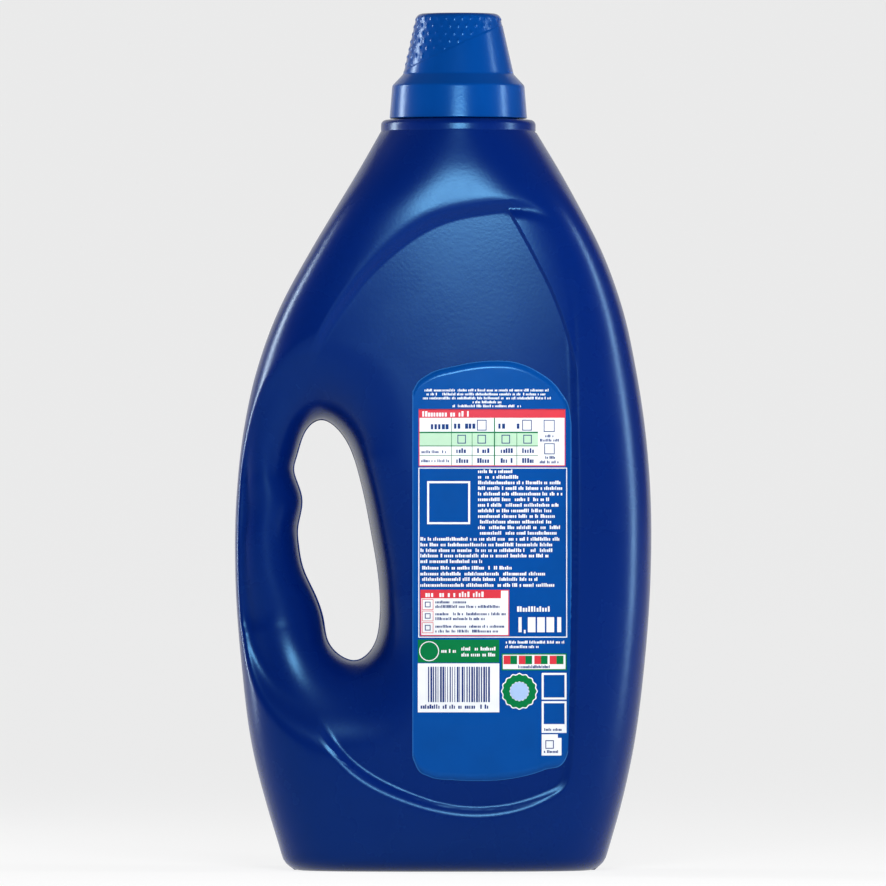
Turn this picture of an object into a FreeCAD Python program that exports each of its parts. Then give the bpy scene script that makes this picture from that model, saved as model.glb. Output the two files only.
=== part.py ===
import FreeCAD, Part
import math
import os

import Sketcher
from FreeCAD import Placement, Rotation, Vector

# Laundry detergent bottle, in millimetres.
# +Z is up, the origin is the middle of the base, the labelled back faces -Y
# and the handle is on the -X side.

# Driving dimensions: alias, value, what it is.
SIZES = [
    ("body_width", 148.0, "widest part of the blown body"),
    ("body_depth", 61.6, "deepest part of the blown body"),
    ("body_height", 262.7, "standing face to the rim of the collar"),
    ("body_wall", 1.0, "blown wall"),
    ("base_fillet", 5.0, "round at the foot"),
    ("foot_land", 6.5, "width of the standing ring"),
    ("push_up", 2.4, "height of the raised floor under the base"),
    ("collar_diameter", 55.0, "round shoulder under the closure"),
    ("collar_height", 4.0, "rim of the collar to its flat top"),
    ("collar_fillet", 3.0, "round at the rim of the collar"),
    ("mouth_offset", 5.45, "closure axis from the middle of the base"),
    ("handle_width", 21.2, "side of the bottle to the finger opening"),
    ("handle_depth", 26.0, "handle from front to back"),
    ("opening_width", 30.3, "finger opening, across"),
    ("opening_height", 85.3, "finger opening, up and down"),
    ("opening_level", 74.6, "lowest point of the finger opening"),
    ("panel_recess", 2.0, "label panel below the crown of the face"),
    ("panel_radius", 400.0, "bend of the label panel"),
    ("panel_bottom", 22.5, "lowest point of the label panel"),
    ("panel_height", 212.1, "label panel, up and down"),
    ("panel_width", 92.0, "label panel, across"),
    ("panel_offset", 1.0, "middle of the panel from the middle of the base"),
    ("neck_diameter", 42.0, "outside of the neck"),
    ("neck_wall", 1.6, "wall of the neck"),
    ("neck_height", 9.0, "flat top of the collar to the rim of the neck"),
    ("spout_fit", 0.05, "running gap of the insert in the neck"),
    ("spout_wall", 1.2, "wall of the pouring insert"),
    ("spout_flange", 1.2, "flange on the rim of the neck"),
    ("spout_bowl", 14.0, "depth of the insert's bowl below the rim"),
    ("spout_tube", 19.0, "outside of the pouring tube"),
    ("spout_rise", 15.0, "tip of the pouring tube above the rim"),
    ("spout_shift", 1.8, "pouring tube from the middle of the neck"),
    ("spout_slope", 32.0, "slant of the pouring lip in degrees"),
    ("drain_hole", 5.0, "drain-back hole in the bowl's floor"),
    ("cap_gap", 0.5, "clearance under the cap's skirt"),
    ("cap_diameter", 48.9, "cap at the bottom of its skirt"),
    ("cap_skirt", 11.7, "height of the skirt"),
    ("cap_shoulder", 47.0, "cap at the top of its skirt"),
    ("cap_step", 4.0, "height of the step from skirt to cup"),
    ("cup_diameter", 39.4, "cup at the step"),
    ("cup_top", 29.6, "cup just below its rounded top"),
    ("cup_height", 21.6, "cup above the step"),
    ("cap_wall", 1.5, "wall of the cap"),
    ("seal_gap", 0.45, "sealing ring of the cap to the bowl of the insert"),
    ("seal_wall", 1.1, "wall of the sealing ring"),
    ("seal_depth", 6.0, "sealing ring below the rim of the neck"),
    ("cap_fillet", 2.6, "round at the top of the cup"),
    ("label_width", 56.2, "film label, across"),
    ("label_height", 148.6, "film label, up and down"),
    ("label_bottom", 32.3, "lowest point of the label"),
    ("label_offset", 17.3, "middle of the label from the middle of the base"),
    ("label_film", 0.15, "thickness of the label film"),
    ("fill_level", 217.0, "surface of the detergent"),
    ("fill_gap", 0.1, "modelling gap between detergent and wall"),
]

# Sections of the body from foot to collar: share of the height, left and right
# half width as a share of half the body width, half depth as a share of half
# the body depth, squareness of the section (2 is an ellipse).
SECTIONS = [
    (0.000, -0.755, 0.765, 0.86, 2.8),
    (0.030, -0.785, 0.797, 0.94, 2.9),
    (0.083, -0.842, 0.851, 0.98, 3.0),
    (0.164, -0.915, 0.915, 1.00, 3.0),
    (0.272, -0.966, 0.966, 1.00, 3.0),
    (0.400, -0.998, 0.998, 1.00, 3.0),
    (0.515, -0.990, 0.996, 1.00, 3.0),
    (0.600, -0.955, 0.970, 1.00, 3.0),
    (0.676, -0.895, 0.928, 1.00, 3.0),
    (0.757, -0.790, 0.865, 1.00, 2.95),
    (0.838, -0.636, 0.761, 1.00, 2.8),
    (0.892, -0.522, 0.665, 0.99, 2.5),
    (0.946, -0.407, 0.560, 0.96, 2.2),
]
SECTION_POINTS = 32
POLE_ROUNDS = 3

# Finger opening inside its own box: across from left to right, up from the
# bottom. The notch for the thumb is at the left, with a bump under it.
OPENING = [
    (0.327, 1.000), (0.538, 0.948), (0.667, 0.869), (0.749, 0.778),
    (0.830, 0.658), (0.900, 0.525), (0.959, 0.405), (0.994, 0.297),
    (1.000, 0.193), (0.959, 0.089), (0.842, 0.023), (0.690, 0.000),
    (0.515, 0.027), (0.386, 0.089), (0.339, 0.180), (0.234, 0.284),
    (0.105, 0.384), (0.053, 0.483), (0.047, 0.566), (0.094, 0.674),
    (0.000, 0.778), (0.035, 0.853), (0.129, 0.952),
]
# Line inside the opening that its walls turn around, from low to high.
SPINE = [(0.70, 0.20), (0.37, 0.83)]

# Wall of the opening, from the middle plane outwards: distance from the edge
# in millimetres and half depth as a share of half the handle depth.
WALL_TO_BODY = [(0.0, 0.0), (0.6, 0.62), (2.2, 1.38), (5.5, 2.0), (9.5, 2.4), (15.0, 3.0), (22.0, 4.0)]
WALL_ABOVE = [(0.0, 0.0), (1.2, 0.46), (4.5, 0.88), (11.0, 1.19), (20.0, 1.77), (28.0, 2.7), (36.0, 4.0)]
WALL_BELOW = [(0.0, 0.0), (1.2, 0.46), (4.5, 0.94), (10.0, 1.34), (17.0, 2.0), (24.0, 2.8), (32.0, 4.0)]
# Half of the handle itself, with the distance as a share of its width.
WALL_HANDLE = [(0.0, 0.0), (0.055, 0.46), (0.22, 0.86), (0.50, 1.0), (0.80, 0.83), (1.03, 0.28), (1.6, 4.0)]

# Top and bottom edges of the label panel and of the label, in their own boxes.
PANEL_TOP = [(0.00, 0.800), (0.16, 0.895), (0.37, 0.955), (0.61, 0.992), (0.78, 1.000), (0.92, 0.985), (1.0, 0.955)]
PANEL_BOTTOM = [(1.0, 0.040), (0.80, 0.012), (0.58, 0.000), (0.33, 0.018), (0.13, 0.060), (0.0, 0.11)]
LABEL_TOP = [(0.00, 0.927), (0.03, 0.948), (0.09, 0.966), (0.27, 0.988), (0.52, 1.000),
             (0.64, 0.997), (0.78, 0.976), (0.93, 0.928), (0.985, 0.890), (1.0, 0.850)]
LABEL_BOTTOM = [(1.0, 0.095), (0.965, 0.052), (0.83, 0.026), (0.60, 0.004), (0.40, 0.000),
                (0.26, 0.002), (0.10, 0.011), (0.035, 0.026), (0.0, 0.056)]


def fill_sheet(doc):
    """Writes the driving dimensions into the sheet."""
    sheet = doc.addObject("Spreadsheet::Sheet", "Sizes")
    for row, (alias, size, note) in enumerate(SIZES, start=1):
        sheet.set(f"A{row}", note)
        sheet.set(f"B{row}", str(size))
        sheet.setAlias(f"B{row}", alias)
    doc.recompute()
    return sheet


class Measures:
    """The sheet's numbers under their own names."""

    def __init__(self, sheet):
        for alias, _, _ in SIZES:
            setattr(self, alias, float(getattr(sheet, alias)))


def origin_plane(body, role):
    """Gives the plane of a body's own origin by its role."""
    return next(item for item in body.Origin.OriginFeatures if item.Role == role)


def worked_out(item, text):
    """Works out an expression in the sheet's names."""
    result = item.evalExpression(text)
    return float(getattr(result, "Value", result))


def profile_sketch(body, name, corners):
    """Draws a closed outline in the body's XZ plane; each corner is two expressions."""
    sketch = body.newObject("Sketcher::SketchObject", name)
    sketch.AttachmentSupport = [(origin_plane(body, "XZ_Plane"), "")]
    sketch.MapMode = "FlatFace"
    places = [Vector(worked_out(sketch, x), worked_out(sketch, z), 0) for x, z in corners]
    for first, second in zip(places, places[1:] + places[:1]):
        sketch.addGeometry(Part.LineSegment(first, second), False)
    count = len(corners)
    for index in range(count):
        sketch.addConstraint(Sketcher.Constraint("Coincident", index, 2, (index + 1) % count, 1))
    for index, (x, z) in enumerate(corners):
        if x == "0":
            sketch.addConstraint(Sketcher.Constraint("PointOnObject", index, 1, -2))
        else:
            held = sketch.addConstraint(Sketcher.Constraint("DistanceX", -1, 1, index, 1, places[index].x))
            sketch.setExpression(f"Constraints[{held}]", x)
        held = sketch.addConstraint(Sketcher.Constraint("DistanceY", -1, 1, index, 1, places[index].y))
        sketch.setExpression(f"Constraints[{held}]", z)
    return sketch


def turned_body(doc, name, corners):
    """Makes a body of revolution about its own Z axis."""
    body = doc.addObject("PartDesign::Body", name)
    sketch = profile_sketch(body, f"{name}_profile", corners)
    turned = body.newObject("PartDesign::Revolution", f"{name}_turned")
    turned.Profile = sketch
    turned.ReferenceAxis = (sketch, ["V_Axis"])
    turned.Angle = 360
    sketch.Visibility = False
    body.Tip = turned
    doc.recompute()
    return body


def round_rims(body, name, rims):
    """Rounds circular edges, each found by its radius and height, all expressions."""
    for number, (radius, level, size) in enumerate(rims):
        base = body.Tip
        wanted = (worked_out(base, radius), worked_out(base, level))
        edges = []
        for index, edge in enumerate(base.Shape.Edges, start=1):
            box = edge.BoundBox
            if box.ZLength < 0.01 and abs(box.ZMin - wanted[1]) < 0.01 and abs(box.XLength / 2 - wanted[0]) < 0.01:
                edges.append(f"Edge{index}")
        rounded = body.newObject("PartDesign::Fillet", f"{name}_round_{number}")
        rounded.Base = (base, edges)
        rounded.setExpression("Radius", size)
        body.Tip = rounded
        body.Document.recompute()


def cylinder(doc, name, radius, height, x, z):
    """Adds an upright cylinder; every size and place is an expression."""
    item = doc.addObject("Part::Cylinder", name)
    item.setExpression("Radius", radius)
    item.setExpression("Height", height)
    item.setExpression("Placement.Base.x", x)
    item.setExpression("Placement.Base.z", z)
    return item


def closed_wire(points):
    """Joins points by one smooth closed curve."""
    curve = Part.BSplineCurve()
    curve.interpolate(Points=points, PeriodicFlag=True)
    return Part.Wire([curve.toShape()])


def body_section(size, share, inset, level):
    """One level section of the body: a squared ellipse, moved in by the inset."""
    _, left, right, deep, square = share
    centre = (left + right) * size.body_width / 4
    half_width = (right - left) * size.body_width / 4 - inset
    half_depth = deep * size.body_depth / 2 - inset
    points = []
    for index in range(SECTION_POINTS):
        turn = 2 * math.pi * index / SECTION_POINTS
        across = math.copysign(abs(math.cos(turn)) ** (2 / square), math.cos(turn))
        along = math.copysign(abs(math.sin(turn)) ** (2 / square), math.sin(turn))
        points.append(Vector(centre + half_width * across, half_depth * along, level))
    return closed_wire(points)


def all_sections(size):
    """The body's sections with the round one under the collar added."""
    reach = size.collar_diameter / size.body_width
    middle = 2 * size.mouth_offset / size.body_width
    top = (1.0, middle - reach, middle + reach, size.collar_diameter / size.body_depth, 2.0)
    return SECTIONS + [top]


def body_blank(size, inset):
    """Lofts the sections into a closed form and rounds its foot."""
    wires = []
    for share in all_sections(size):
        level = share[0] * size.body_height
        wires.append(body_section(size, share, inset, max(level, inset)))
    blank = Part.makeLoft(wires, True, False, False, 5)
    foot = [edge for edge in blank.Edges if edge.BoundBox.ZMax < inset + 0.01]
    return blank.makeFillet(size.base_fillet - inset, foot)


def left_side(size, level):
    """Distance of the handle's side from the middle plane at a level."""
    share = level / size.body_height
    rows = all_sections(size)
    for low, high in zip(rows, rows[1:]):
        if low[0] <= share <= high[0]:
            part = (share - low[0]) / (high[0] - low[0])
            return (low[1] + (high[1] - low[1]) * part) * size.body_width / 2
    return rows[-1][1] * size.body_width / 2


def opening_point(size, across, up):
    """A point of the finger opening's own box in the middle plane."""
    left = -size.body_width / 2 + size.handle_width
    return Vector(left + size.opening_width * across, 0, size.opening_level + size.opening_height * up)


def opening_poles():
    """Moves the outline's points out a little, so that the curve with these poles meets them."""
    poles = [Vector(across, up, 0) for across, up in OPENING]
    points = list(poles)
    count = len(points)
    for _ in range(POLE_ROUNDS):
        smooth = [(poles[k - 1] + poles[k] * 4 + poles[(k + 1) % count]) / 6 for k in range(count)]
        poles = [pole + point - met for pole, point, met in zip(poles, points, smooth)]
    return [(pole.x, pole.y) for pole in poles]


def wall_row(size, row, side):
    """One closed row of poles of the opening's wall, on the front or the back."""
    low, high = (opening_point(size, *end) for end in SPINE)
    spine = high - low
    poles = []
    for across, up in opening_poles():
        edge = opening_point(size, across, up)
        part = (edge - low).dot(spine) / spine.dot(spine)
        outward = edge - (low + spine * min(1.0, max(0.0, part)))
        outward.normalize()
        width = edge.x - left_side(size, edge.z)
        handle = (WALL_HANDLE[row][0] * width, WALL_HANDLE[row][1])
        walls = [WALL_TO_BODY[row], WALL_ABOVE[row], handle, WALL_BELOW[row]]
        quarter, part = divmod(math.degrees(math.atan2(outward.z, outward.x)) % 360 / 90, 1)
        part = (1 - math.cos(math.pi * part)) / 2
        first = walls[int(quarter)]
        second = walls[(int(quarter) + 1) % 4]
        reach = first[0] + (second[0] - first[0]) * part
        deep = first[1] + (second[1] - first[1]) * part
        poles.append(edge + outward * reach + Vector(0, side * deep * size.handle_depth / 2, 0))
    return poles


def grown(rows, inset):
    """Moves each pole into the material along the wall's normal; the end rows stay flat."""
    count = len(rows[0])
    moved = []
    for index, row in enumerate(rows):
        above = rows[min(index + 1, len(rows) - 1)]
        below = rows[max(index - 1, 0)]
        line = []
        for place, pole in enumerate(row):
            around = row[(place + 1) % count] - row[place - 1]
            normal = around.cross(above[place] - below[place])
            normal.normalize()
            shifted = pole + normal * inset
            if index in (0, len(rows) - 1):
                shifted.y = pole.y
            line.append(shifted)
        moved.append(line)
    return moved


def handle_cutter(size, inset):
    """The space around the handle: a waisted solid that runs through the body."""
    last = len(WALL_HANDLE) - 1
    rows = [wall_row(size, row, -1) for row in range(last, 0, -1)]
    rows += [wall_row(size, row, 1) for row in range(last + 1)]
    if inset:
        rows = grown(rows, inset)
    around = len(rows[0])
    spans = len(rows) - 3
    poles = [[row[index] for row in rows] for index in range(around)]
    surface = Part.BSplineSurface()
    surface.buildFromPolesMultsKnots(
        poles,
        [1] * (around + 1),
        [4] + [1] * (spans - 1) + [4],
        list(range(around + 1)),
        list(range(spans + 1)),
        True,
        False,
        3,
        3,
    )
    wall = surface.toShape()
    ends = [edge for edge in wall.Edges if edge.BoundBox.YLength < 0.001]
    lids = [Part.Face(Part.Wire([edge])).copy() for edge in ends]
    cutter = Part.Solid(Part.Shell([wall] + lids))
    if cutter.Volume < 0:
        cutter.reverse()
    return cutter


def curve_through(points):
    """One smooth open curve."""
    curve = Part.BSplineCurve()
    curve.interpolate(Points=points)
    return curve.toShape()


def rounded_plate(left, low, width, height, top, bottom):
    """A flat face in the XZ plane with a curved top and bottom and straight sides."""
    upper = [Vector(left + width * x, 0, low + height * z) for x, z in top]
    lower = [Vector(left + width * x, 0, low + height * z) for x, z in bottom]
    edges = [
        curve_through(upper),
        Part.LineSegment(upper[-1], lower[0]).toShape(),
        curve_through(lower),
        Part.LineSegment(lower[-1], upper[0]).toShape(),
    ]
    return Part.Face(Part.Wire(edges))


def panel_roll(size, proud):
    """The bent face of the label panel as an upright cylinder, proud of it outwards."""
    face = size.body_depth / 2 - size.panel_recess
    axis = Vector(size.mouth_offset, size.panel_radius - face, 0)
    return Part.makeCylinder(size.panel_radius + proud, size.body_height, axis, Vector(0, 0, 1))


def panel_cutter(size, inset):
    """What the label panel takes off the crown of the back face."""
    left = size.panel_offset - size.panel_width / 2 - inset
    low = size.panel_bottom - inset
    width = size.panel_width + 2 * inset
    height = size.panel_height + 2 * inset
    plate = rounded_plate(left, low, width, height, PANEL_TOP, PANEL_BOTTOM)
    block = plate.extrude(Vector(0, -size.body_depth, 0))
    return block.cut(panel_roll(size, -inset))


def push_up(size, grow):
    """The raised floor under the base, larger by the wall for the inside."""
    foot = all_sections(size)[0]
    lower = body_section(size, foot, size.foot_land - grow, -grow)
    upper = body_section(size, foot, size.foot_land + 2 * size.push_up - grow, size.push_up + grow)
    return Part.makeLoft([lower, upper], True, True)


def body_form(size, inset):
    """The blown body's outside, or its inside at an inset."""
    form = body_blank(size, inset)
    form = form.cut(handle_cutter(size, inset))
    panel = panel_cutter(size, inset)
    form = form.cut(panel)
    form = form.cut(panel.mirror(Vector(0, 0, 0), Vector(0, 1, 0)))
    return form.cut(push_up(size, inset))


def make_bottle(doc, size):
    """The blown bottle: hollow body with its handle, collar and neck, in one solid."""
    outside = doc.addObject("Part::Feature", "body_outside")
    outside.Shape = body_form(size, 0.0)
    inside = doc.addObject("Part::Feature", "body_inside")
    inside.Shape = body_form(size, size.body_wall)
    shell = doc.addObject("Part::Cut", "body_shell")
    shell.Base = outside
    shell.Tool = inside
    foot = "Sizes.body_height"
    flat = "Sizes.body_height + Sizes.collar_height"
    rim = "Sizes.body_height + Sizes.collar_height + Sizes.neck_height"
    bore = "Sizes.neck_diameter / 2 - Sizes.neck_wall"
    neck = turned_body(doc, "neck", [
        ("Sizes.collar_diameter / 2", foot),
        ("Sizes.collar_diameter / 2", flat),
        ("Sizes.neck_diameter / 2", flat),
        ("Sizes.neck_diameter / 2", rim),
        (bore, rim),
        (bore, flat + " - Sizes.body_wall"),
        ("Sizes.collar_diameter / 2 - Sizes.body_wall", flat + " - Sizes.body_wall"),
        ("Sizes.collar_diameter / 2 - Sizes.body_wall", foot),
    ])
    round_rims(neck, "neck", [("Sizes.collar_diameter / 2", flat, "Sizes.collar_fillet")])
    neck.setExpression("Placement.Base.x", "Sizes.mouth_offset")
    bottle = doc.addObject("Part::Fuse", "bottle")
    bottle.Base = shell
    bottle.Tool = neck
    bottle.Label = "bottle"
    return bottle


def make_detergent(doc, size):
    """The liquid that fills the body up to its level."""
    liquid = doc.addObject("Part::Feature", "detergent")
    below = Part.makeBox(2 * size.body_width, 2 * size.body_depth, size.fill_level,
                         Vector(-size.body_width, -size.body_depth, 0))
    liquid.Shape = body_form(size, size.body_wall + size.fill_gap).common(below)
    liquid.Label = "detergent"
    return liquid


def make_pour_spout(doc):
    """The insert pressed into the neck: bowl, slanted pouring tube and drain-back hole."""
    rim = "Sizes.body_height + Sizes.collar_height + Sizes.neck_height"
    floor = rim + " - Sizes.spout_bowl"
    outer = "Sizes.neck_diameter / 2 - Sizes.neck_wall - Sizes.spout_fit"
    bowl = turned_body(doc, "spout_bowl", [
        ("0", floor),
        (outer, floor),
        (outer, rim),
        ("Sizes.neck_diameter / 2 - Sizes.cap_gap", rim),
        ("Sizes.neck_diameter / 2 - Sizes.cap_gap", rim + " + Sizes.spout_flange"),
        (outer + " - Sizes.spout_wall", rim + " + Sizes.spout_flange"),
        (outer + " - Sizes.spout_wall", floor + " + Sizes.spout_wall"),
        ("0", floor + " + Sizes.spout_wall"),
    ])
    bowl.setExpression("Placement.Base.x", "Sizes.mouth_offset")
    middle = "Sizes.mouth_offset + Sizes.spout_shift"
    length = "Sizes.spout_bowl + Sizes.spout_rise"
    tube = cylinder(doc, "spout_tube", "Sizes.spout_tube / 2", length, middle, floor)
    slant = doc.addObject("Part::Box", "spout_slant")
    slant.Placement = Placement(Vector(), Rotation(Vector(0, -1, 0), 1))
    slant.setExpression("Length", "4 * Sizes.spout_tube")
    slant.setExpression("Width", "2 * Sizes.spout_tube")
    slant.setExpression("Height", "2 * Sizes.spout_tube")
    slant.setExpression("Placement.Base.x", middle + " - 1.5 * Sizes.spout_tube")
    slant.setExpression("Placement.Base.y", "-Sizes.spout_tube")
    slant.setExpression("Placement.Base.z", rim + " + Sizes.spout_rise"
                        " - 2 * Sizes.spout_tube * tan(Sizes.spout_slope * 1 deg)")
    slant.setExpression("Placement.Rotation.Angle", "Sizes.spout_slope")
    lip = doc.addObject("Part::Cut", "spout_lip")
    lip.Base = tube
    lip.Tool = slant
    blank = doc.addObject("Part::Fuse", "spout_blank")
    blank.Base = bowl
    blank.Tool = lip
    passage = cylinder(doc, "spout_passage", "Sizes.spout_tube / 2 - Sizes.spout_wall",
                       length + " + 2", middle, floor + " - 1")
    drain = cylinder(doc, "spout_drain", "Sizes.drain_hole / 2", "Sizes.spout_bowl",
                     middle + " - Sizes.spout_tube / 2 - Sizes.drain_hole / 2 - Sizes.spout_wall / 4",
                     floor + " - Sizes.spout_bowl / 2")
    holes = doc.addObject("Part::Fuse", "spout_holes")
    holes.Base = passage
    holes.Tool = drain
    spout = doc.addObject("Part::Cut", "pour_spout")
    spout.Base = blank
    spout.Tool = holes
    spout.Label = "pour_spout"
    return spout


def make_cap(doc):
    """The screw cap, a dosing cup: skirt, step, tapered cup and inner sealing ring."""
    low = "Sizes.body_height + Sizes.collar_height + Sizes.cap_gap"
    shoulder = low + " + Sizes.cap_skirt"
    step = shoulder + " + Sizes.cap_step"
    top = step + " + Sizes.cup_height"
    rim = "Sizes.body_height + Sizes.collar_height + Sizes.neck_height"
    seal = ("Sizes.neck_diameter / 2 - Sizes.neck_wall - Sizes.spout_fit - Sizes.spout_wall"
            " - Sizes.seal_gap")
    cap = turned_body(doc, "cap", [
        ("Sizes.cap_diameter / 2", low),
        ("Sizes.cap_shoulder / 2", shoulder),
        ("Sizes.cup_diameter / 2", step),
        ("Sizes.cup_top / 2", top),
        ("0", top),
        ("0", top + " - Sizes.cap_wall"),
        ("Sizes.cup_top / 2 - Sizes.cap_wall", top + " - Sizes.cap_wall"),
        (seal + " - Sizes.seal_wall", step + " - Sizes.cap_wall"),
        (seal + " - Sizes.seal_wall", rim + " - Sizes.seal_depth"),
        (seal, rim + " - Sizes.seal_depth"),
        (seal, step + " - Sizes.cap_wall"),
        ("Sizes.cap_shoulder / 2 - Sizes.cap_wall", shoulder + " - 0.6 * Sizes.cap_wall"),
        ("Sizes.cap_diameter / 2 - Sizes.cap_wall", low),
    ])
    round_rims(cap, "cap", [
        ("Sizes.cup_top / 2", top, "Sizes.cap_fillet"),
        ("Sizes.cap_shoulder / 2", shoulder, "Sizes.cap_wall"),
        ("Sizes.cup_diameter / 2", step, "Sizes.cap_wall"),
    ])
    cap.setExpression("Placement.Base.x", "Sizes.mouth_offset")
    cap.Label = "cap"
    return cap


def make_back_label(doc, size):
    """The film label on the back panel, bent to the panel's face."""
    label = doc.addObject("Part::Feature", "back_label")
    left = size.label_offset - size.label_width / 2
    plate = rounded_plate(left, size.label_bottom, size.label_width, size.label_height, LABEL_TOP, LABEL_BOTTOM)
    block = plate.extrude(Vector(0, -size.body_depth, 0))
    film = panel_roll(size, size.label_film).cut(panel_roll(size, 0.0))
    label.Shape = block.common(film)
    label.Label = "back_label"
    return label


def check_and_write(doc, pieces):
    """Stops at any failed object, then writes each piece to its own file."""
    for item in doc.Objects:
        if "Invalid" in item.State or "Error" in item.State:
            raise RuntimeError(f"{item.Name} has failed: {item.State}")
    for piece in pieces:
        shape = piece.Shape
        if shape.isNull() or not shape.isValid():
            raise RuntimeError(f"{piece.Label} has no valid shape")
        print(f"{piece.Label}: {len(shape.Solids)} solid, {shape.Volume / 1000:.2f} cm3")
    os.makedirs("parts", exist_ok=True)
    for piece in pieces:
        piece.Shape.exportStep(f"parts/{piece.Label}.step")


def main():
    doc = FreeCAD.newDocument("DetergentBottle")
    size = Measures(fill_sheet(doc))
    pieces = [
        make_bottle(doc, size),
        make_detergent(doc, size),
        make_pour_spout(doc),
        make_cap(doc),
        make_back_label(doc, size),
    ]
    doc.recompute()
    check_and_write(doc, pieces)


main()
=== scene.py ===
import logging
import math
from collections.abc import Callable
from dataclasses import dataclass, field, replace
from enum import Enum

import bmesh
import bpy
import numpy as np
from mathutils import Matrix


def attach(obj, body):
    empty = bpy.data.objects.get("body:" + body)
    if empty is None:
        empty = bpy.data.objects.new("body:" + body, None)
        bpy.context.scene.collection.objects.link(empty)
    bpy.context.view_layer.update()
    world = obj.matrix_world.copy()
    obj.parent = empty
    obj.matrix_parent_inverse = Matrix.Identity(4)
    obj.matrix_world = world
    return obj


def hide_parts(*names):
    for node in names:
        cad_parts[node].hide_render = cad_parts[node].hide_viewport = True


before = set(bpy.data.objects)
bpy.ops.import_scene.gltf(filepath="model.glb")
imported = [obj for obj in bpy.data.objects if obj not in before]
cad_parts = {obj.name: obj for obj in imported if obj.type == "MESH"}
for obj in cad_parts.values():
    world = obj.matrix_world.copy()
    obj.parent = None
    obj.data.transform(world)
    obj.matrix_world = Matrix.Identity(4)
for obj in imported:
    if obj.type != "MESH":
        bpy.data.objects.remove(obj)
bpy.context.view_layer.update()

LOG = logging.getLogger("detergent_bottle")
MM = 0.001
MERGE_REACH = 2e-6
BOTTLE_BODY = "bottle_body"
CAP_BODY = "cap_body"
Array = np.ndarray
Bulge = Callable[[Array, Array, Array], Array]
Region = Callable[[Array, Array], Array]
# Sockets of a Mix node that mixes colours.
MIX_FACTOR, MIX_FIRST, MIX_SECOND, MIX_RESULT = 0, 6, 7, 2


class Side(Enum):
    """Which half of the blown body a surface belongs to."""

    FRONT = -1.0
    BACK = 1.0


class Ink(Enum):
    """The printing inks of the label, as linear colours."""

    WHITE = (0.80, 0.82, 0.85)
    RED = (0.62, 0.032, 0.045)
    GREEN = (0.001, 0.16, 0.035)
    PALE_GREEN = (0.45, 0.66, 0.47)
    PALE_BLUE = (0.36, 0.50, 0.76)
    NAVY = (0.004, 0.024, 0.16)


def smooth_step(value: Array) -> Array:
    """Eases a value from 0 to 1: three times its square less twice its cube.

    Args:
        value: Any values; they are held between 0 and 1 first.

    Returns:
        The eased values.
    """
    held = np.clip(value, 0.0, 1.0)
    return held * held * (3.0 - 2.0 * held)


def smooth_min(first: Array, second: Array, blend: Array) -> Array:
    """Takes the lower of two heights with a round valley between them.

    The two are mixed by their difference over the blend width, and a parabola as deep as a
    quarter of that width is taken off where they cross.

    Args:
        first: One height field.
        second: The other height field.
        blend: Width of the blend, above zero.

    Returns:
        The blended height field.
    """
    mix = np.clip(0.5 + 0.5 * (second - first) / blend, 0.0, 1.0)
    return second * (1.0 - mix) + first * mix - blend * mix * (1.0 - mix)


def spline_through(knots: Array, values: Array, at: Array) -> Array:
    """Runs a smooth curve through values: each span is a cubic whose end slopes are the
    mean slopes of the spans beside it.

    Args:
        knots: Rising places of the values, shape (n,).
        values: Values at the knots, shape (n,) or (n, k).
        at: Places to work the curve out at.

    Returns:
        The curve at each place.
    """
    slopes = np.gradient(values, knots, axis=0)
    span = np.clip(np.searchsorted(knots, at) - 1, 0, len(knots) - 2)
    width = knots[span + 1] - knots[span]
    part = (at - knots[span]) / width
    if values.ndim > 1:
        part = part[..., None]
        width = width[..., None]
    two, three = part ** 2, part ** 3
    return (values[span] * (2 * three - 3 * two + 1) + slopes[span] * width * (three - 2 * two + part)
            + values[span + 1] * (3 * two - 2 * three) + slopes[span + 1] * width * (three - two))


def closed_spline(poles: Array, at: Array) -> Array:
    """Follows the closed uniform cubic B-spline of a ring of poles.

    Each point is the sum of four neighbouring poles, weighted by the four cubic pieces of the
    B-spline's bell.

    Args:
        poles: Ring of poles, shape (n, ...).
        at: Places from 0 to n around the ring; a whole number is a pole's own place.

    Returns:
        Points, one for each place.
    """
    base = np.floor(at).astype(int)
    part = (at - base).reshape((-1,) + (1,) * (poles.ndim - 1))
    weights = [(1 - part) ** 3 / 6, (3 * part ** 3 - 6 * part ** 2 + 4) / 6,
               (-3 * part ** 3 + 3 * part ** 2 + 3 * part + 1) / 6, part ** 3 / 6]
    count = len(poles)
    return sum(weight * poles[(base + step) % count] for step, weight in zip((-1, 0, 1, 2), weights))


def poles_meeting(points: Array, rounds: int = 4) -> Array:
    """Moves a ring of points out, so that the closed spline with these poles meets the points.

    Args:
        points: Ring of points that the spline passes.
        rounds: How often the miss at each point is added to its pole.

    Returns:
        The poles, one for each point.
    """
    poles = points.copy()
    for _ in range(rounds):
        met = (np.roll(poles, 1, axis=0) + 4 * poles + np.roll(poles, -1, axis=0)) / 6
        poles = poles + points - met
    return poles


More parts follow.
